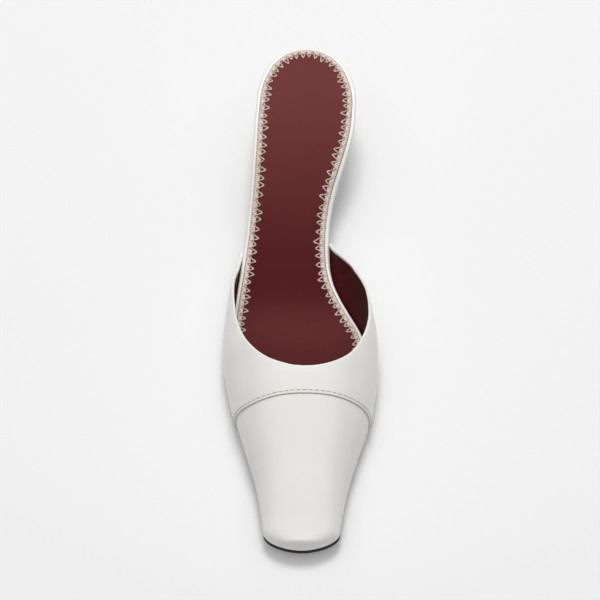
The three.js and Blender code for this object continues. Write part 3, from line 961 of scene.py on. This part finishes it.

# Burgundy pull-up leather, dyed through and waxed without a coat of colour: nearly no shine, and
# finely creased across where the board bends. Painted shade darkens it along the shoe: none over
# the seat, most just behind the ball, less on the ball, and more again under the vamp
sock_leather = leather(
    "burgundy_sock_leather", "#733839", "#6B3435",
    roughness=0.5, grain=0.7, relief=0.012, specular=0.03, marked="#4E171A",
    creases=(heel_back - ball_place, crease_reach, crease_depth),
)


def sock_outline(count):
    """Plan outline of the sock: that of the board, drawn in all round by the rim it leaves."""
    places = eased(board_rim, board_end - board_rim, count)
    return outline(places, grow=-board_rim, grow_heel=-board_rim, grow_toe=-board_rim)


sock_profile = [(inset, 0) for inset in sock_face_insets]
sock_profile += quarter_round(0, 0, sock_roll, sock_roll_points)
sock_profile += [(0, sock_thick), (sock_under_inset, sock_thick)]
sock_grid = layer(sock_outline(layer_steps), sock_profile)
# Painted shade: the table's marks darken the sock along the shoe towards its marked colour
sock_marks = curve(painted_shade_line, 1)(sock_grid[..., 1] / shoe_length)
sock = make_piece("sock_leather", [sock_grid], sock_leather, [sock_marks])
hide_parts("sock")


# Edge binding: overlock stitching in beige thread, worked round the sock's edge before it is laid
# in. Along the edge the threads lie packed side by side as a braid, and from it a needle thread
# runs in over the leather in one loop after another.

braid_half = 1.45
braid_rise = 0.9
braid_inset = 1.3
braid_depth = 0.62
braid_pitch = 0.85
braid_splay = 0.5
braid_steps = 7
braid_sides = 14
edge_samples = 1600

# Section of the braid: how far its threads slant round it in radians, the depth of a furrow as a
# share, and how square it is across on top, across below, and in height
braid_slant = 1.6
braid_furrow = 0.11
crown_power = 0.8
skirt_power = 0.2
rise_power = 0.8

loop_pitch = 3.75
loop_reach = 4.5
loop_radius = 0.37
loop_steps = 18
loop_sides = 7
loop_flat = 0.85
loop_lift = 0.75 * loop_radius
# How much painted shade darkens a loop where it dips into the braid
loop_painted_shade = 0.5
loop_pointed = 0.55

# Unevenness of the stitching: how much the loops lean and differ in reach, and the angles from
# one loop to the next of the waves by which they do so
loop_lean = 0.42
loop_uneven = 0.11
lean_wave = 1.7
reach_wave = 2.4
second_wave = 5.1
second_share = 0.6


def edge_path(inset, spacing):
    """Closed path along the sock's edge, a distance in from it, evenly spaced. Gives its places
    with the way in across the sock, the distance run at each, and the whole run."""
    x, s, nx, ns = sock_outline(edge_samples)
    line = np.stack([x + nx * inset, s + ns * inset, nx, ns], axis=-1)
    line, run = even_path(np.concatenate([line, line[:1]]), spacing)
    return line[:-1], run[:-1], run[-1]


def on_bed(x, s, lift):
    """Point a distance square above the sock's face, and the way up from it."""
    slope = bed_slope(s)
    up = np.stack([0 * s, -np.sin(slope), np.cos(slope)], axis=-1)
    return np.stack([x, s, footbed(s)], axis=-1) + np.asarray(lift)[..., None] * up, up


braid_line, braid_run, braid_length = edge_path(braid_inset, braid_pitch / braid_steps)
braid_count = round(braid_length / braid_pitch)
braid_turn = np.linspace(0, 2 * math.pi, braid_sides + 1)
braid_turn[-1] = 0
cosine, sine = np.cos(braid_turn), np.sin(braid_turn)
phase = 2 * math.pi * braid_count * (braid_run / braid_length)[:, None] + braid_slant * sine
ridge = 0.5 + 0.5 * np.cos(phase)
swell = 1 - braid_furrow * (1 - ridge)
side_power = np.where(sine > 0, crown_power, skirt_power)
braid_in = braid_half * np.sign(cosine) * np.abs(cosine) ** side_power * swell
braid_in -= braid_splay * np.clip(-sine, 0, 1) * (cosine < 0)
braid_up = braid_rise * np.sign(sine) * np.abs(sine) ** rise_power * swell
braid_x = braid_line[:, :1] + braid_line[:, 2:3] * braid_in
braid_s = braid_line[:, 1:2] + braid_line[:, 3:4] * braid_in
braid_grid, _ = on_bed(braid_x, braid_s, braid_up - braid_depth)
braid_grid = np.concatenate([braid_grid, braid_grid[:1]])
# Painted shade: the marks darken the braid in the furrows between its threads
braid_marks = np.concatenate([1 - ridge, 1 - ridge[:1]]) ** 2

# Cream polyester overlock thread, laid side by side: bright on the threads, with painted shade in
# the furrows between them
braid_thread = thread("beige_polyester_overlock_thread", "#EDE1D6", "#BEADA0")
braid = make_piece("sock_edge_braid", [braid_grid], braid_thread, [braid_marks])

loop_line, loop_run, loop_length = edge_path(0, loop_pitch / loop_steps)
loop_count = round(loop_length / loop_pitch)
loop_number, loop_phase = np.divmod(loop_run / loop_length * loop_count, 1)
loop_phase = loop_phase ** (1 + loop_lean * np.sin(lean_wave * loop_number))
pointed = 1 - np.abs(2 * loop_phase - 1)
bowed = 0.5 - 0.5 * np.cos(2 * math.pi * loop_phase)
swing = loop_pointed * pointed + (1 - loop_pointed) * bowed
differing = np.sin(reach_wave * loop_number) + second_share * np.sin(second_wave * loop_number)
loop_in = loop_reach * (1 + loop_uneven * differing) * swing + braid_inset * (1 - swing)
loop_places = loop_line[:, :2] + loop_line[:, 2:] * loop_in[:, None]
loop_path, loop_up = on_bed(loop_places[:, 0], loop_places[:, 1], loop_lift + 0 * loop_in)
loop_sizes = np.full(len(loop_path), loop_radius)
loop_grid = tube(loop_path, loop_up, loop_sizes, loop_sides, closed=True, flat=loop_flat)
# Painted shade: each loop is darkened towards the braid, where it dips into it
painted_shade_near_braid = loop_painted_shade * (1 - np.append(swing, swing[0]))
loop_marks = np.repeat(painted_shade_near_braid[:, None], loop_sides + 1, axis=1)

# Pinkish beige polyester thread, drawn tight over the burgundy leather: thinner and duller than
# the braid, with painted shade where it dips into the braid
loop_thread = thread("pinkish_beige_polyester_thread", "#D5BDB1", "#A1887B")
loops = make_piece("sock_edge_loops", [loop_grid], loop_thread, [loop_marks])
for piece in (braid, loops):
    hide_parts("sock")


# Studio: a seamless sheet of pale paper for a floor, under a softly lit ceiling and a softbox that
# hangs above and behind the shoe, as in a table-top shot.

floor_half = 6.0
paper_glow = 0.185
sky_zenith = 1.14
sky_horizon = 0.02
sky_low = 0.46
sky_high = 0.98
softbox_place = Vector((0.03, 0.44, 1.47))
softbox_size = 0.42
softbox_watts = 11.7

floor_mesh = bpy.data.meshes.new("studio_floor")
corner_signs = [(-1, -1), (1, -1), (1, 1), (-1, 1)]
floor_corners = [(x * floor_half, y * floor_half, 0) for x, y in corner_signs]
floor_mesh.from_pydata(floor_corners, [], [(0, 1, 2, 3)])
floor = bpy.data.objects.new("studio_floor", floor_mesh)
bpy.context.scene.collection.objects.link(floor)

# Matt white background paper: no shine, and a little light of its own for what the lamps leave
paper, paper_out = new_material("matt_white_paper")
paper_skin = add_node(
    paper, "ShaderNodeBsdfPrincipled",
    {"Base Color": linear("#DADADA"), "Roughness": 0.9, "Specular IOR Level": 0.1,
     "Emission Color": (1, 1, 1, 1), "Emission Strength": paper_glow},
)
paper.node_tree.links.new(paper_skin.outputs["BSDF"], paper_out.inputs["Surface"])
floor_mesh.materials.append(paper)

# Sky: a white ceiling that fades out towards the walls
studio = bpy.data.worlds.new("studio_sky")
studio.use_nodes = True
background = studio.node_tree.nodes["Background"]
background.inputs["Color"].default_value = (1, 1, 1, 1)
direction = add_node(studio, "ShaderNodeTexCoord").outputs["Generated"]
sky_height = add_node(studio, "ShaderNodeSeparateXYZ", {"Vector": direction}).outputs["Z"]
glow = add_node(
    studio, "ShaderNodeMapRange",
    {"Value": sky_height, "From Min": sky_low, "From Max": sky_high,
     "To Min": sky_horizon, "To Max": sky_zenith},
)
studio.node_tree.links.new(glow.outputs["Result"], background.inputs["Strength"])
bpy.context.scene.world = studio

# Softbox: a lamp behind a square of white cloth, turned to the shoe
lamp = bpy.data.lights.new("overhead_softbox", "AREA")
lamp.size = softbox_size
lamp.energy = softbox_watts
softbox = bpy.data.objects.new("overhead_softbox", lamp)
softbox.location = softbox_place
softbox.rotation_euler = (-softbox_place).to_track_quat("-Z", "Y").to_euler()
bpy.context.scene.collection.objects.link(softbox)


# Camera: where the photograph's stood, looking down at 60 degrees. It is turned from the
# photograph's middle to this one shoe, and its lens is longer, so that the shoe fills the frame.

camera_place = Vector((0.0519, -0.7934, 1.4645))
photo_focal = 1953.6
shoe_in_photo = (238, 342)
photo_middle = 300
frame_pixels = 600
zoom = 1.726
tilt = math.radians(60)
forward = Vector((0, math.cos(tilt), -math.sin(tilt)))
upward = Vector((0, math.sin(tilt), math.cos(tilt)))
aim = (
    forward * photo_focal
    + Vector((1, 0, 0)) * (shoe_in_photo[0] - photo_middle)
    + upward * (photo_middle - shoe_in_photo[1])
)
lens = bpy.data.cameras.new("camera")
lens.sensor_width = 36
lens.lens = photo_focal * zoom / frame_pixels * lens.sensor_width
camera = bpy.data.objects.new("camera", lens)
level = Quaternion((1, 0, 0), math.pi / 2 - tilt)
camera.rotation_mode = "QUATERNION"
camera.rotation_quaternion = forward.rotation_difference(aim.normalized()) @ level
camera.location = camera_place
bpy.context.scene.collection.objects.link(camera)
bpy.context.scene.camera = camera
bpy.context.scene.view_settings.view_transform = "Standard"
